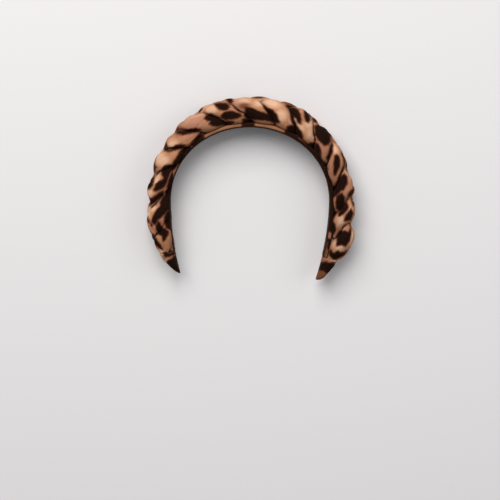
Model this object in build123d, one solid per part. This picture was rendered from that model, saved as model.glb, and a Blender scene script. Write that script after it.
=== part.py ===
from build123d import *
import math
import os

import numpy as np

# Padded headband: three stuffed fabric tubes plaited along a covered band.
# It lies on its side. X runs across, +Y points to the crown, Z up is the band's width.
# Lengths are in millimetres and angles in degrees.

# Inner outline of the arch, as tangent arcs from the middle of the crown to a tip
CROWN_RADIUS = 85.0
CROWN_SWEEP = 27.5
SHOULDER_RADIUS = 73.0
SHOULDER_SWEEP = 38.5
SIDE_RADIUS = 78.0
SIDE_SWEEP = 24.5
LEG_RADIUS = 263.0

# Covered band
BAND_THICKNESS = 4.5
BAND_WIDTH_CROWN = 28.0
BAND_WIDTH_END = 17.0
BAND_EDGE_ROUND = 1.5
BAND_SECTIONS = 37

# Braid, measured over all three strands at the crown
BRAID_WIDTH = 40.0
BRAID_THICKNESS = 24.0
BRAID_END_LEFT = 174.0
BRAID_END_RIGHT = 177.0

# Even plait before its taper: a stuffed strand, how far it rises and sinks, and how flat it lies
STRAND_RADIUS = 10.2
STRAND_RISE = 6.4
BED_DEPTH = 13.6
PATH_SHARPNESS = 0.25
CELL_SHARPNESS = 10.0
RING_LEAN = 0.8

# How far the lobes sink past the edges of the band, and over what width
DROOP = 5.0
DROOP_EASE = 4.5

# Folded ends
TIP_LENGTH_LEFT = 20.0
TIP_LENGTH_RIGHT = 22.5
TIP_HEIGHT = 14.0
TIP_WIDTH = 21.0
TIP_ROUNDNESS = 0.75

# Tongue of the band inside a folded end, and the free space between pieces
TONGUE_LENGTH = 9.0
TONGUE_THICKNESS = 2.2
TONGUE_WIDTH = 11.0
CLEARANCE = 0.3
STRAND_CLEARANCE = 1.25
BAND_SIDE_CLEARANCE = 1.6

# Mesh density of the soft solids, and the steps that search for their skin
STRAND_ROWS = 110
STRAND_SIDES = 16
TIP_SIDES = 20
EASING_STEPS = 9
PATH_STEPS = 45
HALVINGS = 20

# Creases between the lobes on the front edge, left to right, as shares of the braid's own end
CREASES = (
    -1.00, -0.84, -0.68, -0.52, -0.41, -0.31, -0.165, -0.05,
    0.09, 0.20, 0.325, 0.43, 0.55, 0.70, 0.81, 1.00,
)

# Braid from the crown to its ends: (share of the way from the crown, share of the thickness on the left
# and on the right, share of the width, share of the droop on the left and on the right)
BRAID_TAPER = (
    (0.00, 1.00, 1.00, 1.00, 0.00, 0.00),
    (0.20, 0.98, 0.99, 1.00, 0.05, 0.10),
    (0.32, 0.91, 0.93, 0.98, 0.30, 0.25),
    (0.45, 0.84, 0.86, 0.96, 0.80, 0.40),
    (0.60, 0.80, 0.80, 0.94, 1.20, 0.50),
    (0.80, 0.80, 0.82, 0.90, 1.30, 0.50),
    (0.87, 0.70, 0.87, 0.85, 1.25, 0.40),
    (0.91, 0.63, 0.82, 0.80, 1.10, 0.30),
    (0.96, 0.50, 0.66, 0.70, 0.70, 0.20),
    (1.00, 0.36, 0.40, 0.56, 0.20, 0.00),
)

# Folded end from the braid to the point:
# (share of its length, share of its height, share of its width)
TIP_TAPER = (
    (0.00, 1.00, 1.00),
    (0.15, 0.99, 1.00),
    (0.32, 0.90, 0.98),
    (0.50, 0.72, 0.92),
    (0.68, 0.56, 0.83),
    (0.84, 0.40, 0.68),
    (0.95, 0.25, 0.46),
    (1.00, 0.10, 0.22),
)

ARCS = (
    (CROWN_RADIUS, CROWN_SWEEP),
    (SHOULDER_RADIUS, SHOULDER_SWEEP),
    (SIDE_RADIUS, SIDE_SWEEP),
    (LEG_RADIUS, math.inf),
)

STRAND_REACH = BRAID_WIDTH / 2 - STRAND_RADIUS
NEARBY = 2.6 * STRAND_RADIUS
BRAID_BASE = BAND_THICKNESS + CLEARANCE
TONGUE_LIFT = (BAND_THICKNESS - TONGUE_THICKNESS) / 2
EVEN_SCALE = BRAID_THICKNESS / (STRAND_RISE + STRAND_RADIUS + BED_DEPTH)


def arch_frame(along):
    """Point on the inner outline at a length from the crown (negative is left), and its outward normal."""
    x, y, heading = 0.0, 0.0, 0.0
    left = abs(along)
    for radius, sweep in ARCS:
        turn = min(left / radius, math.radians(sweep))
        x += radius * (math.sin(heading + turn) - math.sin(heading))
        y -= radius * (math.cos(heading) - math.cos(heading + turn))
        heading += turn
        left -= radius * turn
    side = 1.0 if along >= 0.0 else -1.0
    return Vector(side * x, y, 0), Vector(side * math.sin(heading), math.cos(heading), 0)


def arch_point(along, across, out):
    """Point at a length along the arch, a height across the width and a distance outwards."""
    foot, normal = arch_frame(along)
    return foot + normal * out + Vector(0, 0, across)


def braid_end(along):
    """Length of the braid on the side of the crown that a place lies on."""
    return np.where(np.asarray(along) < 0.0, BRAID_END_LEFT, BRAID_END_RIGHT)


def braid_shares(along):
    """Shares of the braid's thickness, width and droop at a length along the arch."""
    way = np.abs(along) / braid_end(along)
    shares, *columns = np.array(BRAID_TAPER).T
    left_thickness, right_thickness, width, left_droop, right_droop = (
        np.interp(way, shares, column) for column in columns
    )
    on_left = np.asarray(along) < 0.0
    thickness = np.where(on_left, left_thickness, right_thickness)
    return thickness, width, np.where(on_left, left_droop, right_droop)


def band_half_width(along):
    """Half the band's width at a length along the arch: it narrows gently from the crown to its ends."""
    narrowing = (1 - np.cos(math.pi * np.abs(along) / braid_end(along))) / 2
    return (BAND_WIDTH_CROWN + (BAND_WIDTH_END - BAND_WIDTH_CROWN) * narrowing) / 2


def phase(along):
    """Turn of the plait at a length along the arch, eased between the creases."""
    places = np.array([share * float(braid_end(share)) for share in CREASES])
    turns = np.arange(len(CREASES)) * 2 * math.pi / 3
    first = (turns[1] - turns[0]) / (places[1] - places[0])
    last = (turns[-1] - turns[-2]) / (places[-1] - places[-2])
    reach = 2 * NEARBY
    places = np.concatenate([[places[0] - reach], places, [places[-1] + reach]])
    turns = np.concatenate([[turns[0] - reach * first], turns, [turns[-1] + reach * last]])
    offsets = np.linspace(-STRAND_RADIUS, STRAND_RADIUS, EASING_STEPS)
    return sum(np.interp(along + offset, places, turns) for offset in offsets) / EASING_STEPS


def strand_path(index, along):
    """Centre of a strand across and out, in the even braid before its taper."""
    turn = phase(along) + math.radians(150 + 120 * index)
    double = np.sin(2 * turn)
    rise = double / np.sqrt(1 - PATH_SHARPNESS + PATH_SHARPNESS * double**2)
    return STRAND_REACH * np.sin(turn), STRAND_RISE * rise


def distance_to_strand(index, along, across, out):
    """Distance of each point to the nearest part of a strand's centre line."""
    nearest = np.full(across.shape, np.inf)
    for step in np.linspace(-NEARBY, NEARBY, PATH_STEPS):
        path_across, path_out = strand_path(index, along + step)
        gap = step**2 + (across - path_across) ** 2 + (out - path_out) ** 2
        nearest = np.minimum(nearest, gap)
    return np.sqrt(nearest)


def ring_axes(index, along):
    """Two directions across a strand, in a plane that follows its slant and squares up at its ends."""
    step = 0.5
    ahead = np.array(strand_path(index, along + step))
    behind = np.array(strand_path(index, along - step))
    to_end = np.minimum(along + BRAID_END_LEFT, BRAID_END_RIGHT - along)
    lean = RING_LEAN * np.clip(to_end / (2 * STRAND_RADIUS), 0.0, 1.0)
    slant_across, slant_out = (ahead - behind) / (2 * step) * lean
    length = np.sqrt(1 + slant_across**2 + slant_out**2)
    normal = np.stack([1 / length, slant_across / length, slant_out / length], axis=-1)
    upright = np.array([0.0, 0.0, 1.0]) - normal * normal[..., 2:]
    upright /= np.linalg.norm(upright, axis=-1, keepdims=True)
    return np.cross(upright, normal), upright


def squeezed_rings(index, along, angle):
    """Skin of a stuffed strand, ring by ring: it swells until it meets its own cloth, a neighbour or the band."""
    centre_across, centre_out = strand_path(index, along)
    sideways, upright = ring_axes(index, along)
    ray = sideways * np.cos(angle)[..., None] + upright * np.sin(angle)[..., None]
    others = [other for other in range(3) if other != index]
    low = np.zeros(angle.shape)
    high = np.full(angle.shape, 1.6 * STRAND_RADIUS)
    for _ in range(HALVINGS):
        reach = (low + high) / 2
        place = along + reach * ray[..., 0]
        across = centre_across + reach * ray[..., 1]
        out = centre_out + reach * ray[..., 2]
        own = distance_to_strand(index, place, across, out)
        fill = (own / STRAND_RADIUS) ** CELL_SHARPNESS
        for other in others:
            free = distance_to_strand(other, place, across, out) - STRAND_CLEARANCE
            fill += (own / np.maximum(free, 0.01)) ** CELL_SHARPNESS
        drop = np.maximum(centre_out - out, 0.0) / (centre_out + BED_DEPTH)
        fill += drop**CELL_SHARPNESS
        low = np.where(fill < 1.0, reach, low)
        high = np.where(fill < 1.0, high, reach)
    return place, across, out


def strand_rows(index):
    """Rings of points along one strand, on the arch."""
    stations = np.linspace(-BRAID_END_LEFT, BRAID_END_RIGHT, STRAND_ROWS)
    angles = np.arange(STRAND_SIDES) * 2 * math.pi / STRAND_SIDES
    along, across, out = squeezed_rings(index, *np.meshgrid(stations, angles, indexing="ij"))
    thickness, width, droop = braid_shares(along)
    across = across * width
    past = (np.abs(across) - band_half_width(along) - BAND_SIDE_CLEARANCE) / DROOP_EASE
    past = np.clip(past, 0.0, 1.0)
    sink = DROOP * droop * past * past * (3 - 2 * past)
    out = BRAID_BASE + (out + BED_DEPTH) * EVEN_SCALE * thickness - sink
    return [
        [arch_point(*place) for place in zip(*row)]
        for row in zip(along.tolist(), across.tolist(), out.tolist())
    ]


def solid_from_rows(rows):
    """Closed faceted solid over rings with as many points each."""
    faces = []
    count = len(rows[0])
    for near, far in zip(rows, rows[1:]):
        for place in range(count):
            after = (place + 1) % count
            faces.append(Face(Wire.make_polygon([near[place], far[place], far[after]])))
            faces.append(Face(Wire.make_polygon([near[place], far[after], near[after]])))
    for ring in (rows[0], rows[-1]):
        middle = sum(ring, Vector(0, 0, 0)) / count
        for place in range(count):
            after = (place + 1) % count
            faces.append(Face(Wire.make_polygon([middle, ring[place], ring[after]])))
    return Solid(Shell(faces))


def tip_rows(side):
    """Rings of points of a folded end, from the braid to its point."""
    start = BRAID_END_RIGHT if side > 0 else BRAID_END_LEFT
    length = TIP_LENGTH_RIGHT if side > 0 else TIP_LENGTH_LEFT
    rows = []
    for share, height_share, width_share in TIP_TAPER:
        along = side * (start + CLEARANCE + share * length)
        half_height = TIP_HEIGHT * height_share / 2
        half_width = TIP_WIDTH * width_share / 2
        ring = []
        for step in range(TIP_SIDES):
            angle = 2 * math.pi * step / TIP_SIDES
            swell_across = math.copysign(abs(math.cos(angle)) ** TIP_ROUNDNESS, math.cos(angle))
            swell_out = math.copysign(abs(math.sin(angle)) ** TIP_ROUNDNESS, math.sin(angle))
            ring.append(arch_point(along, half_width * swell_across, half_height * (1 + swell_out)))
        rows.append(ring)
    return rows


def arch_strip(inner, outer, end_left, end_right):
    """Flat face between two distances from the inner outline, from one end of the band to the other."""
    joints = np.cumsum([radius * math.radians(sweep) for radius, sweep in ARCS[:-1]]).tolist()
    left_marks = [-joint for joint in reversed(joints) if joint < end_left]
    right_marks = [joint for joint in joints if joint < end_right]
    marks = [-end_left, *left_marks, *right_marks, end_right]
    edges = [Line(arch_point(end, 0, inner), arch_point(end, 0, outer)) for end in (-end_left, end_right)]
    for out in (inner, outer):
        for near, far in zip(marks, marks[1:]):
            points = [arch_point(along, 0, out) for along in (near, (near + far) / 2, far)]
            edges.append(ThreePointArc(*points))
    return make_face(Wire.combine(edges)[0])


def tongue_strip(clearance):
    """Bar along the arch for the band's tongues, wider and longer by a clearance on every side."""
    strip = arch_strip(
        TONGUE_LIFT - clearance,
        TONGUE_LIFT + TONGUE_THICKNESS + clearance,
        BRAID_END_LEFT + TONGUE_LENGTH + clearance,
        BRAID_END_RIGHT + TONGUE_LENGTH + clearance,
    )
    return extrude(strip, TONGUE_WIDTH / 2 + clearance, both=True)


def make_band():
    """Covered band of even thickness, lofted along the arch, with a tongue at each end."""
    sections = []
    for along in np.linspace(-BRAID_END_LEFT, BRAID_END_RIGHT, BAND_SECTIONS).tolist():
        _, normal = arch_frame(along)
        centre = arch_point(along, 0, BAND_THICKNESS / 2)
        width = 2 * float(band_half_width(along))
        section = RectangleRounded(BAND_THICKNESS, width, BAND_EDGE_ROUND)
        sections.append(Plane(centre, x_dir=normal, z_dir=normal.cross(Vector(0, 0, 1))) * section)
    return (loft(sections) + tongue_strip(0)).solid()


def make_tip(rows):
    """Folded end with a pocket for the band's tongue."""
    return (solid_from_rows(rows) - tongue_strip(CLEARANCE)).solid()


def resting_shift(outlines):
    """Move that stands the outlines on Z = 0 with their middle over the origin."""
    points = [point for rows in outlines for row in rows for point in row]
    left = min(point.X for point in points)
    right = max(point.X for point in points)
    foot = min(point.Y for point in points)
    crown = max(point.Y for point in points)
    rest = min(point.Z for point in points)
    return Vector(-(left + right) / 2, -(foot + crown) / 2, -rest)


strands = {"strand_" + letter: strand_rows(index) for index, letter in enumerate("abc")}
tips = {"tip_left": tip_rows(-1), "tip_right": tip_rows(1)}
shift = resting_shift([*strands.values(), *tips.values()])

pieces = {"band": make_band()}
for name, rows in strands.items():
    pieces[name] = solid_from_rows(rows)
for name, rows in tips.items():
    pieces[name] = make_tip(rows)

os.makedirs("parts", exist_ok=True)
for name, piece in pieces.items():
    piece.position += shift
    export_step(piece, f"parts/{name}.step")
    print(name, round(piece.volume), "mm3")
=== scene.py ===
import math

import bmesh
import bpy
import numpy as np
from mathutils import Matrix, Vector


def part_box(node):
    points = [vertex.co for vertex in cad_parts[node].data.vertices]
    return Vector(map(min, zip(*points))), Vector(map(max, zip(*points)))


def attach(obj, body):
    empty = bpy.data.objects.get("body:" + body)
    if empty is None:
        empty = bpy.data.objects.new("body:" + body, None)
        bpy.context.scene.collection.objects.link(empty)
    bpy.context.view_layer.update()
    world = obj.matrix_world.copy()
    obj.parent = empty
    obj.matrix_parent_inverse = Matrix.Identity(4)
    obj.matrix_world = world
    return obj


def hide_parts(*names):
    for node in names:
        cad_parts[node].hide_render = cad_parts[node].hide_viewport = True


# Padded headband: three stuffed fabric tubes plaited along a covered band.
# It lies on its side. X runs across, +Y points to the crown, Z up is the band's width.
# The braid is worked out in millimetres and put into the mesh in metres.

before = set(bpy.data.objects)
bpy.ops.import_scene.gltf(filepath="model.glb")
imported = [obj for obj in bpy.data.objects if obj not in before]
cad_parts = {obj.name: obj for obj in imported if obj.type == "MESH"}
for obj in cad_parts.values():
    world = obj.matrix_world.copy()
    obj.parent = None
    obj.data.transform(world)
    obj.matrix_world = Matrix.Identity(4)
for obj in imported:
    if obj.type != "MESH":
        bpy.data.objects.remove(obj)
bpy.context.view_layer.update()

MM = 0.001

# Inner outline of the arch, as tangent arcs from the middle of the crown to a tip: radius and sweep
ARCS = ((85.0, 27.5), (73.0, 38.5), (78.0, 24.5), (263.0, math.inf))
# Rough radius of it all, for finding a point's length along it
MEAN_RADIUS = 80.0

# Covered band. Near its left end both its edges tuck in under the lobes
BAND_THICKNESS = 4.5
BAND_WIDTH_CROWN = 28.0
BAND_WIDTH_END = 17.0
BAND_ROUNDNESS = 0.35
LEFT_TUCK = 2.0
LEFT_TUCK_START = -146.0
LEFT_TUCK_EASE = 12.0

# Ribbon on the inside of the band, dark enough to paint the shadow line along the band's inner edge
LINING_THICKNESS = 1.0
LINING_MARGIN = 0.5
LINING_ROUNDNESS = 0.25
LINING_GIRTH = 60.0

# Braid, measured over all three strands at the crown. The strands stop short of its ends, at the cuffs
BRAID_WIDTH = 40.0
BRAID_THICKNESS = 24.0
BRAID_END_LEFT = 174.0
BRAID_END_RIGHT = 177.0
CUFF_OVER_BRAID = 2.3

# Even plait before its taper: the strands, how far their centres rise and fall, and the bed under them
STRAND_RADIUS = 10.2
STRAND_RISE = 6.4
BED_DEPTH = 13.6
# Turn of strand a at the leftmost crease, in degrees
FIRST_STRAND_TURN = 150.0
# How sharply a strand's path turns, and how flat the strands lie against each other and on their bed
PATH_SHARPNESS = 0.25
CELL_SHARPNESS = 7.0
BED_SHARPNESS = 16.0
UNDERSIDE_EASE = 1.6
# Share of a strand's slant that its rings follow
RING_LEAN = 0.8
# Lobes sink by this much past the band's edges, over this width, and no lower than this
DROOP = 5.0
DROOP_EASE = 4.5
LOWEST_LOBE = 0.2

# Gaps between braid and band and between strands, and how far past the band's edge lobes start to sink
CLEARANCE = 0.1
STRAND_CLEARANCE = 0.6
BAND_SIDE_CLEARANCE = 1.6

# Cloth round each piece, which scales its weave and its seeded blotches
STRAND_GIRTH = 64.0
END_GIRTH = 60.0
BAND_GIRTH = 58.0

# Mesh density of the cloth, and the steps that search for its skin
STRAND_ROWS = 300
STRAND_SIDES = 44
END_ROWS = 56
END_SIDES = 56
STRIP_ROWS = 260
STRIP_SIDES = 40
MARK_SPACING = 0.25
EASING_STEPS = 9
PATH_STEPS = 45
PLACE_STEPS = 10
HALVINGS = 16
LEAST_GAP = 0.01

# Creases between the lobes on the front edge, left to right, as shares of the braid's own end
CREASES = (
    -1.00, -0.84, -0.68, -0.52, -0.41, -0.31, -0.165, -0.05,
    0.09, 0.20, 0.325, 0.43, 0.55, 0.70, 0.81, 1.00,
)

# Braid from the crown to its ends: share of the way, shares of the thickness on the left and on the
# right, share of the width, shares of the droop on the left and on the right
BRAID_TAPER = (
    (0.00, 1.02, 1.02, 1.00, 0.00, 0.00),
    (0.20, 0.99, 1.02, 1.00, 0.05, 0.10),
    (0.32, 0.92, 0.95, 0.98, 0.30, 0.25),
    (0.45, 0.84, 0.88, 0.96, 0.80, 0.40),
    (0.60, 0.80, 0.84, 0.94, 1.20, 0.50),
    (0.80, 0.80, 0.88, 0.90, 1.30, 0.50),
    (0.87, 0.74, 0.94, 0.85, 1.25, 0.40),
    (0.91, 0.67, 0.92, 0.80, 1.25, 0.30),
    (0.96, 0.53, 0.77, 0.70, 1.25, 0.20),
    (1.00, 0.36, 0.43, 0.57, 1.20, 0.00),
)

# Folded ends from the rim of the cuff over the braid to the point:
# length past the braid's end, height and width
LEFT_END_PROFILE = (
    (-2.1, 14.6, 25.0), (-1.2, 15.2, 25.2), (0.0, 14.8, 23.8), (3.0, 14.0, 21.4),
    (6.2, 12.9, 20.8), (7.0, 11.6, 20.2), (10.0, 9.9, 19.2), (13.6, 7.8, 17.4),
    (17.0, 5.4, 14.3), (19.8, 3.2, 9.7), (21.8, 1.2, 4.4),
)
RIGHT_END_PROFILE = (
    (-2.1, 15.4, 25.0), (-1.2, 15.8, 25.0), (0.0, 15.0, 23.8), (3.0, 14.0, 21.4),
    (5.0, 13.6, 20.8), (6.0, 13.1, 20.4), (11.3, 10.8, 19.3), (15.3, 8.9, 17.4),
    (18.9, 7.0, 14.3), (21.4, 4.6, 9.7), (22.8, 1.9, 4.6),
)
END_ROUNDNESS = 0.75
# Light gathers at a folded end's cuff, which fade past the braid, and slow folds that twist along it
CUFF_GATHERS = 11
CUFF_GATHER_DEPTH = 0.22
CUFF_GATHER_REACH = 9.0
END_FOLDS = 5
END_FOLD_DEPTH = 0.15
END_FOLD_TWIST = 0.4

# Dark blotches of the print as the front shows them, drawn as outlines through
# (length along the arch, distance outwards), in millimetres
DARK_BLOTCHES = (
    # lowest parts of the lobes: dark print with painted shade
    ((-133, -3), (-106, -3), (-106, 3.5), (-118, 4.5), (-131, 2.5)),
    ((60, -2), (76, -2), (75, 4), (66, 5), (60, 4)),
    # left folded end and its wrap
    ((-199, -3), (-195, 2), (-190, 7), (-184, 11), (-181.5, 9), (-180.5, 5), (-178, 1), (-177, -3)),
    ((-176.8, 11), (-173, 11.8), (-172.8, 9.5), (-174.5, 8), (-175, 5), (-173.8, 2), (-174, -1),
     (-175.5, 0), (-176.5, 5)),
    # left leg
    ((-170, 12), (-166, 17), (-160, 22), (-155, 22), (-153.5, 19.5), (-156, 18), (-160, 16),
     (-165, 13.5), (-169, 12)),
    ((-161.2, 10), (-156, 10.5), (-154, 14), (-150, 15.8), (-146, 15.5), (-142, 12.5), (-147, 10.5),
     (-149, 9), (-150, 7), (-153, 4), (-156, 5), (-158, 7), (-160, 8.2)),
    ((-151, 1), (-149, 5), (-145, 6), (-139, 6), (-134, 4), (-133, 2), (-134, -1), (-143, -2), (-150, -1)),
    ((-145.5, 16.5), (-143, 19.5), (-138, 18.5), (-133, 15.5), (-130, 13), (-128, 10), (-124, 9.5),
     (-120, 8), (-115, 3), (-112.5, 1), (-115, -2), (-128, -2), (-131, 3), (-134, 6), (-137, 9),
     (-140, 12.5), (-143, 14.5)),
    ((-147, 19), (-145.5, 21), (-142.5, 22), (-143, 20), (-145, 18.5)),
    ((-143, 23), (-137, 25), (-136.5, 23), (-140, 21.8), (-143, 21.5)),
    ((-127.5, 21.5), (-123, 22), (-120, 22), (-120.5, 18), (-118, 15), (-115.5, 12), (-113.5, 8.5),
     (-117, 8), (-120.5, 11.5), (-123.5, 15), (-126, 18.5)),
    ((-114.5, 24), (-109, 24), (-105, 22.5), (-101.5, 19.5), (-105, 19), (-110, 19), (-113.5, 21)),
    ((-114, 18), (-109, 16.5), (-106, 14), (-104, 10.5), (-101, 10), (-99, 13), (-96, 14.5),
     (-92, 13.5), (-89.5, 10), (-88, 7), (-87, 4), (-91, 4.5), (-95, 6), (-100, 6), (-104, 6),
     (-108, 7.5), (-111, 10), (-114, 14)),
    ((-118, 3), (-108, 4.3), (-98, 4), (-92, 3.5), (-92, -2), (-118, -3)),
    ((-100.5, 20.5), (-95, 24), (-89, 27), (-88.5, 24.5), (-93.5, 22.5), (-95, 19.5), (-97, 20.5),
     (-99.5, 20)),
    ((-92, 3), (-86, 6.5), (-80, 6), (-74, 7), (-68, 6.5), (-64, 4), (-70, -1), (-78, -1),
     (-84, 3), (-90, 1.5)),
    ((-80.5, 21), (-78, 25), (-74, 25), (-75, 22.5), (-77.5, 19), (-78.5, 16.5), (-75, 15),
     (-72, 14.5), (-69, 11), (-67, 8), (-69, 7), (-72, 9.5), (-76, 13), (-79.5, 16.5), (-80.5, 19.5)),
    # crown
    ((-61.5, 4.5), (-56, 5), (-52, 6), (-48, 7), (-50, 4.5), (-55, 2.5), (-60, 2)),
    ((-65, 24), (-60, 26), (-60.5, 21.5), (-58, 18.5), (-54, 16), (-50, 13.5), (-47.5, 9.5),
     (-52, 10.8), (-57.5, 13.8), (-61.8, 16.5), (-63.5, 20)),
    ((-44.5, 27.5), (-41, 30), (-36, 30), (-38, 26.5), (-41, 25), (-43.5, 26)),
    ((-40, 18), (-36.5, 20.5), (-33, 19.5), (-30.5, 16), (-28, 11.5), (-25, 8.5), (-21, 6.5),
     (-17, 5), (-21, 4), (-27, 5.5), (-32, 6), (-36, 8.5), (-38, 11), (-36, 12.5), (-38.5, 14.5)),
    ((-29, 28), (-24, 27.5), (-18.5, 25), (-17.2, 20.5), (-19.5, 18.2), (-23, 18.5),
     (-26.5, 20.5), (-28.2, 23.5)),
    ((-20, 30), (-14, 30), (-14, 25.5), (-17, 22), (-18.5, 24.5)),
    ((-26, 14.5), (-23, 17), (-18, 17), (-14, 15), (-10, 12.5), (-9, 10.5), (-13, 9), (-19, 9),
     (-23.5, 10), (-26, 12)),
    ((-5.5, 19), (-3, 18.5), (1, 17.5), (7, 14.5), (13, 13.5), (16, 10), (14, 7.5), (3, 7),
     (-4, 7.5), (-6, 10), (-5.5, 14)),
    ((8.5, 22), (13, 19.5), (17, 18.5), (21, 15), (23, 11), (25, 8.5), (22, 7), (17, 7.5), (13, 8),
     (13, 15), (10, 19)),
    ((-8, 7), (1, 6), (3, 3), (0, 1), (-7, 1)),
    ((-0.5, 29), (3, 32), (9, 32), (7, 28), (3, 27.5)),
    # right shoulder
    ((25.5, 28), (30, 28.5), (36, 27), (39.5, 24), (41.5, 20), (42.5, 15.5), (40, 15.5), (37.5, 18),
     (34, 18.5), (31, 20.5), (28.5, 23), (26, 25)),
    ((31, 21.5), (33, 17), (35.5, 13), (40, 9.5), (43, 10.5), (39, 12.5), (36, 16), (34, 20)),
    ((39.5, 30), (44.5, 29.5), (47.5, 25), (47.8, 20.5), (45, 20), (42, 23), (40, 26.5)),
    ((47, 28), (52, 28), (52.5, 24.5), (50, 24), (48, 25)),
    ((34, 7), (36.5, 10), (41.5, 10.8), (46, 9), (50, 5.5), (51, 2.5), (48, 0), (40, 0), (35, 3)),
    ((52, 21.5), (54.5, 26.5), (60, 29), (65.5, 27.5), (69.8, 22), (70.8, 18), (69, 14.5), (63, 13.8),
     (57.5, 15), (54.5, 18.5)),
    ((59.5, 6), (64, 10.5), (69, 9), (73, 6), (76, 4), (74, 1), (65, 1), (60, 3)),
    # thin dark line along a crease: painted shade
    ((71.5, 22), (74, 21), (77.5, 17), (79.5, 12.5), (80.5, 9), (79, 9.5), (77, 13), (74.5, 16.5),
     (72, 19.5)),
    ((80, 4), (83, 5.5), (88, 5), (90, 2), (84, -1), (80, 0)),
    ((80.5, 19.5), (82.5, 21.2), (86.5, 20), (90.5, 17), (93, 13.5), (95.5, 9.5), (91.5, 10.5),
     (87, 12.3), (83.5, 14.8), (81, 17.3)),
    ((80.5, 25), (85, 26.5), (90, 23.5), (94, 19), (96.5, 16), (94, 17.5), (90, 21), (86, 23.2),
     (81.5, 23)),
    ((89, 25.5), (94, 26), (96.5, 22.5), (94.5, 21.5), (91, 22.5)),
    # right leg
    ((97.2, 19.5), (100.7, 21.5), (105.7, 19.5), (109.7, 15), (110.2, 12), (113.7, 7), (115.7, 3),
     (107.7, 3), (104.7, 8), (99.7, 12), (97.7, 16)),
    ((108.5, 26), (112, 26), (116, 21.5), (116.5, 19), (118, 17.5), (114, 19), (111, 21.5)),
    ((113, 12.5), (116, 15), (120, 15), (125, 14), (128, 10.5), (126, 7.5), (121, 6.8), (116, 8),
     (113.5, 10)),
    ((116.5, 22), (120, 24.5), (123, 25), (124, 23.5), (121, 22.2), (118, 21.5)),
    ((121, 17.5), (124.5, 19.5), (128, 17.5), (132, 13.5), (133.5, 10.5), (132, 9.5), (128, 11.5),
     (124, 14.5), (121.5, 16)),
    ((125.5, 21.5), (130, 25), (137, 23), (138, 18), (138, 16), (135, 16), (132, 17.5), (128, 20)),
    ((127, 4), (131, 7), (135, 5), (139, 4), (143, 7), (148, 8), (152, 6), (158, 4), (165, 3.5),
     (165, 1.5), (150, 2.5), (140, 0), (128, -1)),
    ((138, 20.5), (142, 23), (148, 25), (156, 24.5), (162, 21), (161, 16.5), (162.5, 12),
     (158, 11.5), (153, 10.5), (148, 12.5), (148, 15), (147, 18), (148, 21), (144, 22.2), (140, 21)),
    ((165, 23), (170, 22), (174, 17), (175.5, 12), (173.5, 8), (170, 6), (168, 7), (170.5, 9),
     (170, 11.5), (167, 14.5), (168.5, 16), (167.5, 19)),
    # right folded end
    ((179.5, 16), (188, 13), (191, 9.5), (189, 5), (190, -2), (182, -2), (182.5, 2), (180.5, 5),
     (181.5, 8), (179.8, 11)),
)

# Dark parts of the band's front edge below the lobes, drawn the same way: painted shadow of the lobes, with
# dark print in places
EDGE_SHADOW_AND_BLOTCHES = (
    ((-158, -4), (-105, -4), (-104, 6), (-160, 6)),
    ((-83, -4), (-67, -4), (-64, 2), (-66, 6), (-92, 6), (-90, 3.6), (-84, 2.5)),
    ((-62, -4), (-50, -4), (-48, 3), (-50, 6), (-62, 6)),
    ((-8, -4), (2, -4), (2.5, 6), (-9, 6)),
    ((33.5, -4), (57, -4), (57, 2), (47.5, 2), (47, 6), (34, 6)),
    ((57, -4), (142, -4), (149, 2), (150, 6), (57, 6)),
    ((156, -4), (159, -4), (160, 2.8), (166, 3.2), (168, 6), (158, 6)),
)

# Rosier places of the ground, partly print tone and partly painted shade, as the front shows them: length
# along the arch, distance outwards, half sizes
ROSE_AND_SHADE_PATCHES = (
    (-178, 7, 4, 6), (-150, 20, 6, 3), (-146, 10, 6, 2.5), (-121, 13, 6, 5), (-104, 5, 10, 2.5),
    (-51, 17, 13, 8), (-13, 20, 6, 6), (-8, 13, 4, 4), (66, 10, 8, 4), (74, 12, 5, 6),
    (89, 8, 6, 3), (98, 8, 7, 4), (103, 23, 6, 3), (114, 15, 5, 4), (122, 4, 7, 2.5),
    (131, 18, 7, 3), (146, 19, 5, 4), (152, 3, 6, 3), (180, 8, 4, 7),
)
# Painted highlights on the ground, where the pile catches the light, given the same way
HIGHLIGHT_PATCHES = (
    (-181, 10, 2, 4), (-173, 13, 4, 3), (-133, 23, 5, 2.5), (-128, 17, 4, 6), (-116, 21, 3, 3),
    (-104, 16, 4, 2), (-88, 18, 4, 7), (-85, 24, 6, 3), (-73, 17, 4, 5), (-47, 23, 7, 3),
    (-32, 24, 5, 4), (-8, 25, 6, 3), (6, 23, 4, 3), (15, 25, 6, 4), (25, 15, 4, 5),
    (36, 15, 3, 3), (44, 12, 4, 3), (48, 21, 3, 5), (55, 14, 4, 5), (76, 20, 4, 3),
    (99, 23, 4, 3), (127, 20, 3, 3), (138, 13, 5, 4), (152, 25, 6, 1.5), (158, 9, 5, 3),
    (164, 15, 2.5, 4), (176, 11, 2.5, 4),
)
# Browner places of the ground, given the same way
BROWN_PATCHES = (
    (-121, 16, 2, 2), (-62, 22, 3, 4), (-6, 20, 4, 3), (3, 30, 7, 2), (27, 29, 5, 2),
    (170, 3, 7, 3), (196, 3, 8, 9),
)
PATCH_SOFTNESS = 1.6

# Painted shade towards the inner line, as browner ground: how far out it starts, how late it gathers, and
# its strength
INNER_SHADE_OUT = 20.0
INNER_SHADE_POWER = 1.5
INNER_SHADE = 0.6

# Growth of the charted blotches towards the inner line, partly painted shade there: how much, where it
# turns to shrinking, its ease
INNER_GROWTH = 0.6
GROWTH_TURNS_OUT = 16.0
GROWTH_EASE = 8.0

# Distance inside a blotch: with none near, the most that is kept, and how far an outline is felt
FAR_FROM_BLOTCH = -9.0
EDGE_KEPT = 4.0
CHART_MARGIN = 5.0

# The chart holds where the cloth faces the camera, and seeded blotches where it turns away
FACING_START = 0.02
FACING_EASE = 0.25
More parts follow.
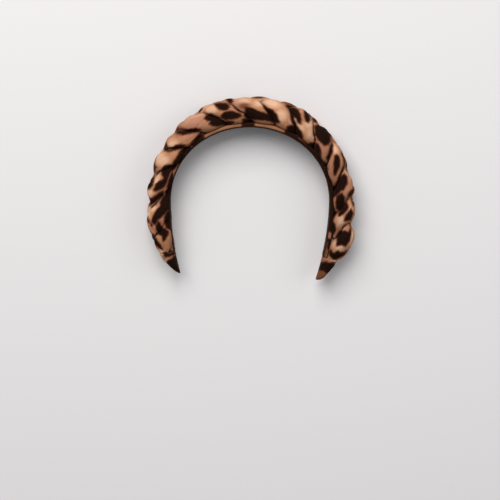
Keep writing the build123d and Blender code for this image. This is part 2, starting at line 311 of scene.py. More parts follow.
# Seeded blotches: spacing along and round the cloth, stray as a share of it, half sizes, turn and waist
SEEDED_APART_ALONG = 15.0
SEEDED_APART_ROUND = 12.5
SEEDED_STRAY = 0.22
SEEDED_HALF_ALONG = (4.6, 7.6)
SEEDED_HALF_ROUND = (3.0, 4.8)
SEEDED_TURN = 0.5
SEEDED_WAIST = 0.45

# Folds in the cloth as the front shows them, drawn as lines in the same lengths
FRONT_FOLDS = (
    ((-126, 20), (-120, 12), (-113, 4)),
    ((-112, 13), (-105, 8), (-95, 5.5)),
    ((-156, 14), (-150, 19), (-146, 21)),
    ((-52, 12), (-46, 15), (-38, 17)),
    ((-17, 23), (-12, 17), (-8, 12)),
    ((87, 23), (94, 18), (100, 12)),
    ((126, 20), (131, 14), (137, 8)),
    ((2, 24), (8, 17), (14, 10)),
    ((60, 12), (66, 9), (71, 4)),
)
FRONT_FOLD_DEPTH = 0.65
FRONT_FOLD_HALF_WIDTH = 0.8
FRONT_FOLD_EASE = 0.3

# Notches between lobes on the outer line, as the front shows them: length along the arch, depth (less
# than nothing where a lobe swells) and half length
OUTER_NOTCHES = (
    (-122, 2.8, 6), (-102, 3.0, 4.2), (-80, 2.2, 4), (-65, 1.5, 3.5), (-43, 1.2, 3), (-26, -0.7, 5),
    (-13, 1.2, 3.5), (40, -1.2, 4), (48, 0.8, 3), (55, 1.4, 3), (70, 0.6, 3), (97, 1.8, 4), (111, -1.3, 4),
    (117, 1.4, 3), (140, 1.8, 4), (151, -0.6, 6), (168, -0.8, 4),
)
# They start at this distance outwards and are full at twice as much
NOTCHES_START_OUT = 10.0

# Spare cloth and stuffing of the strands, the springs' hold on each point, and how far it may move
SPARE_CLOTH = 0.04
STUFFING_PRESSURE = 4.0
HOLD_OF_PLACE = 0.6
SETTLING_FRAMES = 20
LONGEST_MOVE = 1.2 * MM

# Gathered pleats where a strand is pinched
PLEATS_AT_CROSSING = 5
PLEAT_STRAY = 3.0
PLEAT_HALF_LENGTH = (4.0, 9.0)
PLEAT_HALF_WIDTH = (0.7, 1.2)
PLEAT_TURN = 0.18
PLEAT_HEIGHT = (0.15, 0.45)
# Ridge beside a pleat: its height and its place as shares of the pleat's depth and half width
PLEAT_RIDGE = 0.45
PLEAT_RIDGE_PLACE = 1.9
# Pleats and folds together go no deeper and stand no higher than this
DEEPEST_PLEAT = 0.8
HIGHEST_RIDGE = 0.35

# Seeds of the random draws, to which a strand's index or an end's side is added
PRINT_SEED_BRAID = 11
PRINT_SEED_ENDS = 30
PRINT_SEED_BAND = 41
PLEAT_SEED = 70

BRAID_START = CUFF_OVER_BRAID - BRAID_END_LEFT
BRAID_LENGTH = BRAID_END_LEFT + BRAID_END_RIGHT - 2 * CUFF_OVER_BRAID
STRAND_REACH = BRAID_WIDTH / 2 - STRAND_RADIUS
NEARBY = 2.6 * STRAND_RADIUS
FARTHEST_SKIN = 1.6 * STRAND_RADIUS
BRAID_BASE = BAND_THICKNESS + CLEARANCE
EVEN_SCALE = BRAID_THICKNESS / (STRAND_RISE + STRAND_RADIUS + BED_DEPTH)

# Camera as the photograph has it: one pixel of its 500 is one millimetre at the middle of the band's width
PHOTO_WIDTH = 500.0
SENSOR_WIDTH = 36.0
CAMERA_DISTANCE = 1450.0
CAMERA_LOOKS_DOWN = 10.9
CAMERA_ROLL = 1.1
CROWN_IN_PHOTO = (251.4, 126.1)

# Lights by name: place, size, power and tint
LIGHTS = {
    "key_light": ((-0.5, 1.35, 1.75), 1.6, 60.0, (1.0, 0.985, 0.965)),
    "fill_light": ((1.5, 0.6, 1.5), 1.4, 9.0, (1.0, 0.99, 0.97)),
}
ROOM_TINT = (0.95, 0.97, 1.0, 1.0)
ROOM_STRENGTH = 0.30
FLOOR_SIZE = 20.0

band_low, band_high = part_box("band")
ARCH_CROWN = np.array([
    (band_low.x + band_high.x) / 2 / MM,
    band_high.y / MM - BAND_THICKNESS,
    (band_low.z + band_high.z) / 2 / MM,
])


def arch_frame(along):
    """Foot on the inner outline at lengths from the crown (negative is left), and its outward normal."""
    left = np.abs(along)
    x = np.zeros_like(left)
    y = np.zeros_like(left)
    heading = np.zeros_like(left)
    for radius, sweep in ARCS:
        turn = np.minimum(left / radius, math.radians(sweep))
        x = x + radius * (np.sin(heading + turn) - np.sin(heading))
        y = y - radius * (np.cos(heading) - np.cos(heading + turn))
        heading = heading + turn
        left = left - radius * turn
    side = np.where(along < 0.0, -1.0, 1.0)
    foot = np.stack([side * x, y], axis=-1)
    return foot, np.stack([side * np.sin(heading), np.cos(heading)], axis=-1)


def arch_points(along, across, out):
    """Points in metres at lengths along the arch, heights across the width and distances outwards."""
    foot, normal = arch_frame(along)
    flat = foot + normal * out[..., None]
    return (np.concatenate([flat, across[..., None]], axis=-1) + ARCH_CROWN) * MM


def arch_place(points, guess):
    """Length along the arch and distance outwards of points in metres, from a guess of the length."""
    flat = (points / MM - ARCH_CROWN)[:, :2]
    along = guess.copy()
    for _ in range(PLACE_STEPS):
        foot, normal = arch_frame(along)
        tangent = np.stack([normal[:, 1], -normal[:, 0]], axis=-1)
        out = ((flat - foot) * normal).sum(axis=-1)
        along += ((flat - foot) * tangent).sum(axis=-1) / (1 + np.maximum(out, 0.0) / MEAN_RADIUS)
    return along, out


def braid_end(along):
    """Length of the braid on the side of the crown that a place lies on."""
    return np.where(np.asarray(along) < 0.0, BRAID_END_LEFT, BRAID_END_RIGHT)


def braid_shares(along):
    """Shares of the braid's thickness, width and droop at a length along the arch."""
    way = np.abs(along) / braid_end(along)
    shares, *columns = np.array(BRAID_TAPER).T
    left_thickness, right_thickness, width, left_droop, right_droop = (
        np.interp(way, shares, column) for column in columns
    )
    on_left = np.asarray(along) < 0.0
    thickness = np.where(on_left, left_thickness, right_thickness)
    return thickness, width, np.where(on_left, left_droop, right_droop)


def band_half_width(along):
    """Half the band's width: it narrows from the crown to its ends, and tucks in near the left one."""
    narrowing = (1 - np.cos(math.pi * np.abs(along) / braid_end(along))) / 2
    tuck = LEFT_TUCK * np.clip((LEFT_TUCK_START - along) / LEFT_TUCK_EASE, 0.0, 1.0)
    return (BAND_WIDTH_CROWN + (BAND_WIDTH_END - BAND_WIDTH_CROWN) * narrowing) / 2 - tuck


def phase(along):
    """Turn of the plait at a length along the arch, eased between the creases."""
    places = np.array([share * float(braid_end(share)) for share in CREASES])
    turns = np.arange(len(CREASES)) * 2 * math.pi / 3
    first = (turns[1] - turns[0]) / (places[1] - places[0])
    last = (turns[-1] - turns[-2]) / (places[-1] - places[-2])
    reach = 2 * NEARBY
    places = np.concatenate([[places[0] - reach], places, [places[-1] + reach]])
    turns = np.concatenate([[turns[0] - reach * first], turns, [turns[-1] + reach * last]])
    offsets = np.linspace(-STRAND_RADIUS, STRAND_RADIUS, EASING_STEPS)
    return sum(np.interp(along + offset, places, turns) for offset in offsets) / EASING_STEPS


PATH_MARKS = np.arange(-BRAID_END_LEFT - 2 * NEARBY, BRAID_END_RIGHT + 2 * NEARBY, MARK_SPACING)
PATH_PHASE = phase(PATH_MARKS)


def strand_turn(index):
    """Turn of one strand at every mark along the arch: the three are a third of a turn apart."""
    return PATH_PHASE + math.radians(FIRST_STRAND_TURN + index * 120)


def strand_table(index):
    """Centre of a strand across and out at every mark along the arch."""
    turn = strand_turn(index)
    double = np.sin(2 * turn)
    rise = double / np.sqrt(1 - PATH_SHARPNESS + PATH_SHARPNESS * double ** 2)
    return STRAND_REACH * np.sin(turn), STRAND_RISE * rise


STRAND_TABLES = [strand_table(index) for index in range(3)]


def strand_path(index, along):
    """Centre of a strand across and out, in the even braid before its taper."""
    path_across, path_out = STRAND_TABLES[index]
    return np.interp(along, PATH_MARKS, path_across), np.interp(along, PATH_MARKS, path_out)


def distance_to_strand(index, along, across, out):
    """Distance of each point to the nearest part of a strand's centre line."""
    nearest = np.full(across.shape, np.inf)
    for step in np.linspace(-NEARBY, NEARBY, PATH_STEPS):
        path_across, path_out = strand_path(index, along + step)
        gap = step ** 2 + (across - path_across) ** 2 + (out - path_out) ** 2
        nearest = np.minimum(nearest, gap)
    return np.sqrt(nearest)


def ring_axes(index, along):
    """Two directions across a strand, in a plane that follows its slant and squares up at its ends."""
    step = 0.5
    ahead = np.array(strand_path(index, along + step))
    behind = np.array(strand_path(index, along - step))
    to_end = np.minimum(along + BRAID_END_LEFT, BRAID_END_RIGHT - along)
    lean = RING_LEAN * np.clip(to_end / (2 * STRAND_RADIUS), 0.0, 1.0)
    slant_across, slant_out = (ahead - behind) / (2 * step) * lean
    length = np.sqrt(1 + slant_across ** 2 + slant_out ** 2)
    normal = np.stack([1 / length, slant_across / length, slant_out / length], axis=-1)
    upright = np.array([0.0, 0.0, 1.0]) - normal * normal[..., 2:]
    upright /= np.linalg.norm(upright, axis=-1, keepdims=True)
    return np.cross(upright, normal), upright


def squeezed_skin(index, along, angle):
    """Skin of a stuffed strand: it swells until it meets its own cloth, a neighbour or the band."""
    centre_across, centre_out = strand_path(index, along)
    sideways, upright = ring_axes(index, along)
    ray = sideways * np.cos(angle)[..., None] + upright * np.sin(angle)[..., None]
    others = [other for other in range(3) if other != index]
    downwards = np.clip(-UNDERSIDE_EASE * ray[..., 2], 0.0, 1.0)
    sharpness = CELL_SHARPNESS + (BED_SHARPNESS - CELL_SHARPNESS) * downwards
    low = np.zeros(angle.shape)
    high = np.full(angle.shape, FARTHEST_SKIN)
    for _ in range(HALVINGS):
        reach = (low + high) / 2
        place = along + reach * ray[..., 0]
        across = centre_across + reach * ray[..., 1]
        out = centre_out + reach * ray[..., 2]
        own = distance_to_strand(index, place, across, out)
        touch = np.zeros(angle.shape)
        for other in others:
            free = distance_to_strand(other, place, across, out) - STRAND_CLEARANCE
            touch += (own / np.maximum(free, LEAST_GAP)) ** sharpness
        drop = np.maximum(centre_out - out, 0.0) / (centre_out + BED_DEPTH)
        touch += drop ** BED_SHARPNESS
        fill = (own / STRAND_RADIUS) ** sharpness + touch
        low = np.where(fill < 1.0, reach, low)
        high = np.where(fill < 1.0, high, reach)
    return place, across, out, touch


def strand_skin(index, along, angle):
    """Points of a strand's cloth in metres, and how hard each one is pressed by its neighbours."""
    along, across, out, touch = squeezed_skin(index, along, angle)
    thickness, width, droop = braid_shares(along)
    across = across * width
    past = (np.abs(across) - band_half_width(along) - BAND_SIDE_CLEARANCE) / DROOP_EASE
    past = np.clip(past, 0.0, 1.0)
    sink = DROOP * droop * past * past * (3 - 2 * past)
    out = BRAID_BASE + (out + BED_DEPTH) * EVEN_SCALE * thickness - sink
    for middle, depth, half_length in OUTER_NOTCHES:
        near = np.exp(-(((along - middle) / half_length) ** 2))
        out = out - depth * near * np.clip(out / NOTCHES_START_OUT - 1, 0.0, 1.0)
    out = np.maximum(out, LOWEST_LOBE)
    return arch_points(along, across, out), np.clip(touch, 0.0, 1.0)


def new_piece(name, bm, material):
    """Object at the origin from a bmesh, with its material and smooth faces."""
    mesh = bpy.data.meshes.new(name)
    for face in bm.faces:
        face.smooth = True
    bm.to_mesh(mesh)
    bm.free()
    mesh.materials.append(material)
    piece = bpy.data.objects.new(name, mesh)
    bpy.context.scene.collection.objects.link(piece)
    return piece


def unit_grid(rows, sides):
    """Bmesh grid with its UV map, and the two shares of the way over it of every vertex."""
    bm = bmesh.new()
    bm.loops.layers.uv.new("cloth")
    bmesh.ops.create_grid(bm, x_segments=rows, y_segments=sides, size=0.5, calc_uvs=True)
    shares = np.array([vertex.co for vertex in bm.verts]) + 0.5
    return bm, shares[:, 0], shares[:, 1]


def close_tube(bm):
    """Joins the long seam of a rolled grid and closes its two ends."""
    bmesh.ops.remove_doubles(bm, verts=bm.verts, dist=1e-7)
    rims = [edge for edge in bm.edges if edge.is_boundary]
    filled = bmesh.ops.holes_fill(bm, edges=rims, sides=0)
    bmesh.ops.poke(bm, faces=filled["faces"])
    bmesh.ops.recalc_face_normals(bm, faces=bm.faces)


def move_vertices(bm, points):
    """Puts every vertex of a bmesh at its point."""
    for vertex, point in zip(bm.verts, points.tolist()):
        vertex.co = point


def make_strand(index, material):
    """One stuffed tube of the braid, with how hard its cloth is pressed in the creases, for the painted
    shade there.
    """
    bm, along_share, round_share = unit_grid(STRAND_ROWS, STRAND_SIDES)
    along = BRAID_START + along_share * BRAID_LENGTH
    points, touch = strand_skin(index, along, 2 * math.pi * round_share)
    move_vertices(bm, points)
    # how hard the cloth is pressed, kept for the painted shade in the creases
    crease_shade_mask = bm.verts.layers.float.new("crease_shade_mask")
    for vertex, share in zip(bm.verts, touch.tolist()):
        vertex[crease_shade_mask] = share
    close_tube(bm)
    return new_piece("braid_strand_" + "abc"[index], bm, material)


def end_profile(side):
    """Lengths past the braid's end, heights and widths of a folded end, from its cuff to its point."""
    return np.array(RIGHT_END_PROFILE if side > 0 else LEFT_END_PROFILE).T


def end_length(side):
    """Length of a folded end from its cuff's rim to its point."""
    marks = end_profile(side)[0]
    return marks[-1] - marks[0]


def cuff_rim(side):
    """Length from the crown to the rim of a folded end's cuff."""
    return braid_end(side) + end_profile(side)[0][0]


def swell(value, roundness):
    """Cosine or sine of a section's outline: round at 1, and the squarer the less its roundness."""
    return np.sign(value) * np.abs(value) ** roundness


def make_folded_end(side, material):
    """Folded end of the cover, lightly gathered, with a cuff over the end of the braid."""
    bm, share, round_share = unit_grid(END_ROWS, END_SIDES)
    marks, heights, widths = end_profile(side)
    past = marks[0] + share * end_length(side)
    angle = 2 * math.pi * round_share
    swell_across = swell(np.cos(angle), END_ROUNDNESS)
    swell_out = swell(np.sin(angle), END_ROUNDNESS)
    gather = CUFF_GATHER_DEPTH * np.sin(angle * CUFF_GATHERS + side)
    gather *= np.clip(1 - past / CUFF_GATHER_REACH, 0.0, 1.0)
    gather += END_FOLD_DEPTH * np.sin(angle * END_FOLDS + past * END_FOLD_TWIST)
    across = (np.interp(past, marks, widths) / 2 + gather) * swell_across
    out = np.interp(past, marks, heights) / 2 * (1 + swell_out) + gather * np.clip(swell_out, 0.0, 1.0)
    move_vertices(bm, arch_points(side * (braid_end(side) + past), across, out))
    close_tube(bm)
    return new_piece("folded_end_" + ("right" if side > 0 else "left"), bm, material)


def make_strip(name, material, low, high, margin, roundness):
    """Strip along the arch between two distances outwards, its edges in from the band's by a margin."""
    bm, share, round_share = unit_grid(STRIP_ROWS, STRIP_SIDES)
    along = BRAID_START + share * BRAID_LENGTH
    angle = 2 * math.pi * round_share
    across = swell(np.cos(angle), roundness) * (band_half_width(along) - margin)
    out = (low + high) / 2 + swell(np.sin(angle), roundness) * (high - low) / 2
    move_vertices(bm, arch_points(along, across, out))
    close_tube(bm)
    return new_piece(name, bm, material)


def mesh_arrays(piece):
    """Points and normals of a piece, and the cloth's two ways over it as shares."""
    mesh = piece.data
    count = len(mesh.vertices)
    points = np.zeros(count * 3)
    mesh.vertices.foreach_get("co", points)
    normals = np.zeros(count * 3)
    mesh.vertices.foreach_get("normal", normals)
    corners = np.zeros(len(mesh.loops), int)
    mesh.loops.foreach_get("vertex_index", corners)
    places = np.zeros(len(mesh.loops) * 2)
    mesh.uv_layers["cloth"].data.foreach_get("uv", places)
    shares = np.zeros((count, 2))
    shares[corners] = places.reshape(-1, 2)
    return points.reshape(-1, 3), normals.reshape(-1, 3), shares


def set_points(piece, points):
    """Moves a piece's cloth to new points."""
    piece.data.vertices.foreach_set("co", points.ravel())
    piece.data.update()


def apply_modifier(piece, modifier):
    """Makes a modifier's result the piece's own mesh."""
    bpy.context.view_layer.objects.active = piece
    bpy.ops.object.modifier_apply(modifier=modifier.name)


def subdivide(piece):
    """One even subdivision, kept in the mesh."""
    modifier = piece.modifiers.new("finer", "SUBSURF")
    modifier.levels = 1
    modifier.render_levels = 1
    apply_modifier(piece, modifier)


def settle_cloth(piece):
    """Lets the stuffing press the cloth out, while springs hold each point near its place."""
    start = mesh_arrays(piece)[0]
    held = piece.vertex_groups.new(name="held")
    held.add(range(len(start)), HOLD_OF_PLACE, "REPLACE")
    modifier = piece.modifiers.new("cloth", "CLOTH")
    cloth = modifier.settings
    cloth.quality = 4
    cloth.mass = 0.15
    cloth.tension_stiffness = 12.0
    cloth.compression_stiffness = 4.0
    cloth.shear_stiffness = 4.0
    cloth.bending_stiffness = 0.05
    cloth.use_pressure = True
    cloth.uniform_pressure_force = STUFFING_PRESSURE
    cloth.shrink_min = -SPARE_CLOTH
    cloth.vertex_group_mass = "held"
    cloth.pin_stiffness = 1.0
    cloth.effector_weights.gravity = 0.0
    modifier.collision_settings.use_collision = False
    scene = bpy.context.scene
    for frame_number in range(1, SETTLING_FRAMES + 1):
        scene.frame_set(frame_number)
    apply_modifier(piece, modifier)
    scene.frame_set(1)
    piece.vertex_groups.clear()
    moved = mesh_arrays(piece)[0] - start
    size = np.linalg.norm(moved, axis=1, keepdims=True)
    set_points(piece, start + moved * np.minimum(1.0, LONGEST_MOVE / np.maximum(size, 1e-9)))


def seen_from_front(points, guess):
    """Length along the arch and distance outwards at which the camera sees points in metres."""
    eye = np.array(camera_place)
    level = ARCH_CROWN[2] * MM
    share = (level - eye[2]) / (points[:, 2] - eye[2])
    return arch_place(eye + (points - eye) * share[:, None], guess)


def distance_to_line(corners, along, out):
    """Distance of points to a line drawn through corners."""
    nearest = np.full(along.shape, np.inf)
    for (x0, y0), (x1, y1) in zip(corners, corners[1:]):
        dx, dy = x1 - x0, y1 - y0
        way = np.clip(((along - x0) * dx + (out - y0) * dy) / (dx * dx + dy * dy), 0.0, 1.0)
        nearest = np.minimum(nearest, np.hypot(along - x0 - way * dx, out - y0 - way * dy))
    return nearest


def distance_inside(outline, along, out):
    """Distance of points to a closed outline, less than nothing outside it."""
    closed = (*outline, outline[0])
    inside = np.zeros(along.shape, bool)
    for (x0, y0), (x1, y1) in zip(closed, closed[1:]):
        crosses = (y0 > out) != (y1 > out)
        rise = (y1 - y0) or 1.0
        inside ^= crosses & (along < x0 + (out - y0) * (x1 - x0) / rise)
    nearest = distance_to_line(closed, along, out)
    return np.where(inside, nearest, -nearest)


def round_gap(round_way, level, girth):
    """Distance round the cloth from a level, the shorter way."""
    return (round_way - level + girth / 2) % girth - girth / 2


def groove(distance, half_width):
    """Cross-section of a pleat: a narrow valley between two low ridges, from -1 to about 0.4."""
    reach = distance / half_width
    return PLEAT_RIDGE * np.exp(-((reach - PLEAT_RIDGE_PLACE) ** 2)) - np.exp(-(reach ** 2))


def crossing_marks(index):
    """Lengths along the arch at which a strand goes under a neighbour or comes out again."""
    quarter = strand_turn(index) / (math.pi / 2)
    levels = np.arange(math.ceil(quarter[0]), math.floor(quarter[-1]) + 1)
    return np.interp(levels, quarter, PATH_MARKS)


def gathered_pleats(index, long_way, round_way):
    """Relief of the small pleats where a strand is pinched, from a fixed seed."""
    rng = np.random.default_rng(PLEAT_SEED + index)
    relief = np.zeros(long_way.shape)
    for mark in crossing_marks(index):
        for _ in range(PLEATS_AT_CROSSING):
            middle = mark + rng.uniform(-PLEAT_STRAY, PLEAT_STRAY)
            level = rng.uniform(0.0, STRAND_GIRTH)
            half_length = rng.uniform(*PLEAT_HALF_LENGTH)
            half_width = rng.uniform(*PLEAT_HALF_WIDTH)
            turn = rng.uniform(-PLEAT_TURN, PLEAT_TURN)
            height = rng.uniform(*PLEAT_HEIGHT)
            off_long = long_way - middle
            off_round = round_gap(round_way, level, STRAND_GIRTH)
            fade = np.exp(-((off_long / half_length) ** 2))
            relief += height * fade * groove(np.abs(off_round - off_long * turn), half_width)
    return relief


def front_folds(points, normals, long_way):
    """Relief of the charted folds, which fade where the cloth turns from the front."""
    along, out = seen_from_front(points, long_way)
    front = np.clip(normals[:, 2] / FRONT_FOLD_EASE, 0.0, 1.0)
    folds = sum(groove(distance_to_line(line, along, out), FRONT_FOLD_HALF_WIDTH) for line in FRONT_FOLDS)
    return FRONT_FOLD_DEPTH * front * folds


def add_pleats(piece, index):
    """Presses the pleats and the charted folds into a strand's cloth."""
    points, normals, shares = mesh_arrays(piece)
    long_way = BRAID_START + shares[:, 0] * BRAID_LENGTH
    relief = gathered_pleats(index, long_way, shares[:, 1] * STRAND_GIRTH)
    relief += front_folds(points, normals, long_way)
    set_points(piece, points + normals * np.clip(relief, -DEEPEST_PLEAT, HIGHEST_RIDGE)[:, None] * MM)


def patches(places, along, out):
    """Soft round patches from 0 to 1."""
    total = np.zeros(along.shape)
    for place_along, place_out, half_along, half_out in places:
        reach = np.hypot((along - place_along) / half_along, (out - place_out) / half_out)
        total = np.maximum(total, np.clip(PATCH_SOFTNESS - reach, 0.0, 1.0))
    return total


def charted_blotches(chart, along, out):
    """Distance inside the blotches drawn for the front, in millimetres."""
    best = np.full(along.shape, FAR_FROM_BLOTCH)
    for outline in chart:
        lengths = [corner[0] for corner in outline]
        near = (along > min(lengths) - CHART_MARGIN) & (along < max(lengths) + CHART_MARGIN)
        best[near] = np.maximum(best[near], distance_inside(outline, along[near], out[near]))
    # blotches grow towards the inner line, partly as painted shade there
    return best + INNER_GROWTH * np.clip((GROWTH_TURNS_OUT - out) / GROWTH_EASE, -1.0, 1.0)


def seeded_blotch(rng, middle, level, off_long, off_round):
    """Distance inside one blotch of random size, turn and waist, from offsets to its middle."""
    half_long = rng.uniform(*SEEDED_HALF_ALONG)
    half_round = rng.uniform(*SEEDED_HALF_ROUND)
    turn = rng.uniform(-SEEDED_TURN, SEEDED_TURN)
    waist = rng.uniform(0.0, SEEDED_WAIST)
    x = (off_long * math.cos(turn) + off_round * math.sin(turn)) / half_long
    y = (off_round * math.cos(turn) - off_long * math.sin(turn)) / half_round
    around = np.arctan2(y, x)
    pinch = waist * 0.5 * np.cos(2 * around + level)
    lobes = 0.10 * np.cos(3 * around + middle)
    return (1 - np.hypot(x, y) * (1 + pinch + lobes)) * half_round


def scattered_blotches(seed, length, girth, long_way, round_way):
    """Distance inside seeded blotches on a strip of cloth that closes round its girth, in millimetres."""
    rng = np.random.default_rng(seed)
    slow_wave = 1.3 * np.sin(round_way * 0.55 + seed)
    quick_wave = 0.6 * np.sin(round_way * 1.7)
    long_way = long_way + slow_wave + quick_wave
    best = np.full(long_way.shape, FAR_FROM_BLOTCH)
    columns = max(2, int(length / SEEDED_APART_ALONG))
    rows = int(round(girth / SEEDED_APART_ROUND))
    for column in range(columns + 1):
        for row in range(rows):
            stray = rng.uniform(-SEEDED_STRAY, SEEDED_STRAY)
            middle = (column + 0.5 * (row % 2) + stray) * length / columns
            stray = rng.uniform(-SEEDED_STRAY, SEEDED_STRAY)
            level = (row + 0.5 + stray) * girth / rows
            off_round = round_gap(round_way, level, girth)
            best = np.maximum(best, seeded_blotch(rng, middle, level, long_way - middle, off_round))
    return best


def give_attribute(piece, name, values):
    """Stores one number per vertex for a material to read."""
    attribute = piece.data.attributes.new(name, "FLOAT", "POINT")
    attribute.data.foreach_set("value", values.astype(np.float32))


def print_cloth(piece, seed, start, length, girth, chart=DARK_BLOTCHES):
    """Lays the print on a piece: a chart's blotches in front, seeded ones where the front doesn't show, and
    in front painted highlights and shade.
    """
    points, normals, shares = mesh_arrays(piece)
    to_eye = np.array(camera_place) - points
    to_eye /= np.linalg.norm(to_eye, axis=1, keepdims=True)
    facing = np.clip(((normals * to_eye).sum(axis=1) - FACING_START) / FACING_EASE, 0.0, 1.0)
    along, out = seen_from_front(points, start + shares[:, 0] * length)
    charted = np.clip(charted_blotches(chart, along, out), -EDGE_KEPT, EDGE_KEPT)
    hidden = scattered_blotches(seed, length, girth, shares[:, 0] * length, shares[:, 1] * girth)
    hidden = np.clip(hidden, -EDGE_KEPT, EDGE_KEPT)
    # painted shade towards the inner line, joined with the browner places
    inwards = np.clip((INNER_SHADE_OUT - out) / INNER_SHADE_OUT, 0.0, 1.0)
    brown_and_shade = np.maximum(patches(BROWN_PATCHES, along, out), inwards ** INNER_SHADE_POWER * INNER_SHADE)
    give_attribute(piece, "blotch", charted * facing + hidden * (1 - facing))
    # rosy print tone, partly painted shade
    give_attribute(piece, "rose_and_shade", patches(ROSE_AND_SHADE_PATCHES, along, out) * facing)
    # painted highlights where the pile catches the light
    give_attribute(piece, "painted_highlight", patches(HIGHLIGHT_PATCHES, along, out) * facing)
    give_attribute(piece, "brown_and_shade", brown_and_shade * facing)


class Signal:
    """A shader socket that can be used in a Python expression."""

    def __init__(self, tree, socket):
        self.tree = tree
        self.socket = socket

    def node(self, kind, settings=None, inputs=None, output=0):
        """New node of the same tree: its settings come first, then the values or links of its sockets."""
        node = self.tree.nodes.new(kind)
        for name, value in (settings or {}).items():
            setattr(node, name, value)
        for name, value in (inputs or {}).items():
            if isinstance(value, Signal):
                value.feed(node.inputs[name])
            else:
                node.inputs[name].default_value = value
        return Signal(self.tree, node.outputs[output])

    def feed(self, socket):
        """Links this to the socket of a node."""
        self.tree.links.new(self.socket, socket)

    def maths(self, operation, first, second):
        """Math node on two values."""
        return self.node("ShaderNodeMath", {"operation": operation}, {0: first, 1: second})

    def __add__(self, other):
        return self.maths("ADD", self, other)

    def __radd__(self, other):
        return self.maths("ADD", other, self)

    def __sub__(self, other):
        return self.maths("SUBTRACT", self, other)

    def __rsub__(self, other):
        return self.maths("SUBTRACT", other, self)

    def __mul__(self, other):
        return self.maths("MULTIPLY", self, other)

    def __rmul__(self, other):
        return self.maths("MULTIPLY", other, self)

    def between(self, low, high):
        """0 below one value and 1 above another, eased."""
        settings = {"interpolation_type": "SMOOTHSTEP"}
        inputs = {"Value": self, "From Min": low, "From Max": high}
        return self.node("ShaderNodeMapRange", settings, inputs)

    def scaled(self, factors):
        """Vector times three numbers."""
        return self.node("ShaderNodeVectorMath", {"operation": "MULTIPLY"}, {0: self, 1: factors})

    def noise(self, scale, detail=2.0, roughness=0.5):
        """Noise from 0 to 1 at these coordinates."""
        inputs = {"Vector": self, "Scale": scale, "Detail": detail, "Roughness": roughness}
        return self.node("ShaderNodeTexNoise", {}, inputs)

    def woven(self, along, around, detail=2.0, roughness=0.5):
        """Noise on cloth, with its scales along and round the piece."""
        return self.scaled((along, around, 1.0)).noise(1.0, detail, roughness)

    def mix(self, first, second):
        """Colour between two colours, with this as the share of the second."""
        inputs = {"Factor": self, 6: first, 7: second}
        return self.node("ShaderNodeMix", {"data_type": "RGBA"}, inputs, output=2)

    def cloth(self, length, girth):
        """Coordinates on a piece's cloth in millimetres, along and round it."""
        return self.node("ShaderNodeUVMap", {"uv_map": "cloth"}).scaled((length, girth, 1.0))

    def stored(self, name):
        """Number that a piece stores at its vertices, or 0 where it has none."""
        return self.node("ShaderNodeAttribute", {"attribute_name": name}, output=2)

    def bump(self, strength, distance):
        """Normal over this height."""
        return self.node("ShaderNodeBump", {}, {"Strength": strength, "Distance": distance, "Height": self})


def new_material(name, finish):
    """Material with its shader, set to a plain finish, and a signal to start expressions from."""
    material = bpy.data.materials.new(name)
    material.use_nodes = True
    tree = material.node_tree
    shader = tree.nodes["Principled BSDF"]
    for socket, value in finish.items():
        shader.inputs[socket].default_value = value
    return material, shader, Signal(tree, None)


def colour(red, green, blue):
    """Linear colour from the usual 0 to 255 values."""
    shares = [value / 255 for value in (red, green, blue)]
    linear = [share / 12.92 if share <= 0.04045 else ((share + 0.055) / 1.055) ** 2.4 for share in shares]
    return (*linear, 1.0)


# colour of the painted highlights
PAINTED_HIGHLIGHT = colour(214, 174, 145)
GROUND_TAN = colour(178, 129, 96)
GROUND_SHADE = colour(144, 95, 67)
# rosy tone, partly print and partly painted shade
ROSE_AND_SHADE = colour(160, 110, 88)
# brown of the print, and the colour of the painted shade towards the inner line and in the creases
BROWN_AND_SHADE = colour(92, 49, 29)
BLOTCH_RIM = colour(88, 44, 26)
BLOTCH_DARK = colour(22, 9, 5)
BLOTCH_WORN = colour(68, 33, 19)
# dark enough to paint the shadow line along the band's inner edge
LINING_SHADOW_BROWN = colour(38, 22, 15)
LINING_RIB = colour(58, 36, 25)
PAPER_GREY = colour(212, 210, 211)
PAPER_PALE = colour(218, 216, 217)

CLOTH_FINISH = {
    "Sheen Weight": 0.045,
    "Sheen Roughness": 0.35,
    "Sheen Tint": colour(235, 195, 165),
    "Specular IOR Level": 0.04,
}
LINING_FINISH = {"Sheen Weight": 0.02, "Specular IOR Level": 0.05}
PAPER_FINISH = {"Roughness": 0.9}

# How strongly places of the ground take their tone: painted highlights, rosy places partly painted shade,
# brown places with the painted shade towards the inner line, and the painted shade in the creases
HIGHLIGHT_STRENGTH = 0.72
ROSE_AND_SHADE_STRENGTH = 0.7
BROWN_AND_SHADE_STRENGTH = 0.85
CREASE_SHADE_STRENGTH = 0.65

# Ragged edge of the blotches in millimetres: fine teeth, a slow wander, and all of it spread outwards
EDGE_TEETH = 4.0
EDGE_WANDER = 1.4
EDGE_SPREAD = 0.2
RIM_STRENGTH = 0.75
# Worn brown of the blotches: at their rims, less in their middles, and more on the band
RIM_WEAR = 0.8
BAND_WEAR = 0.15


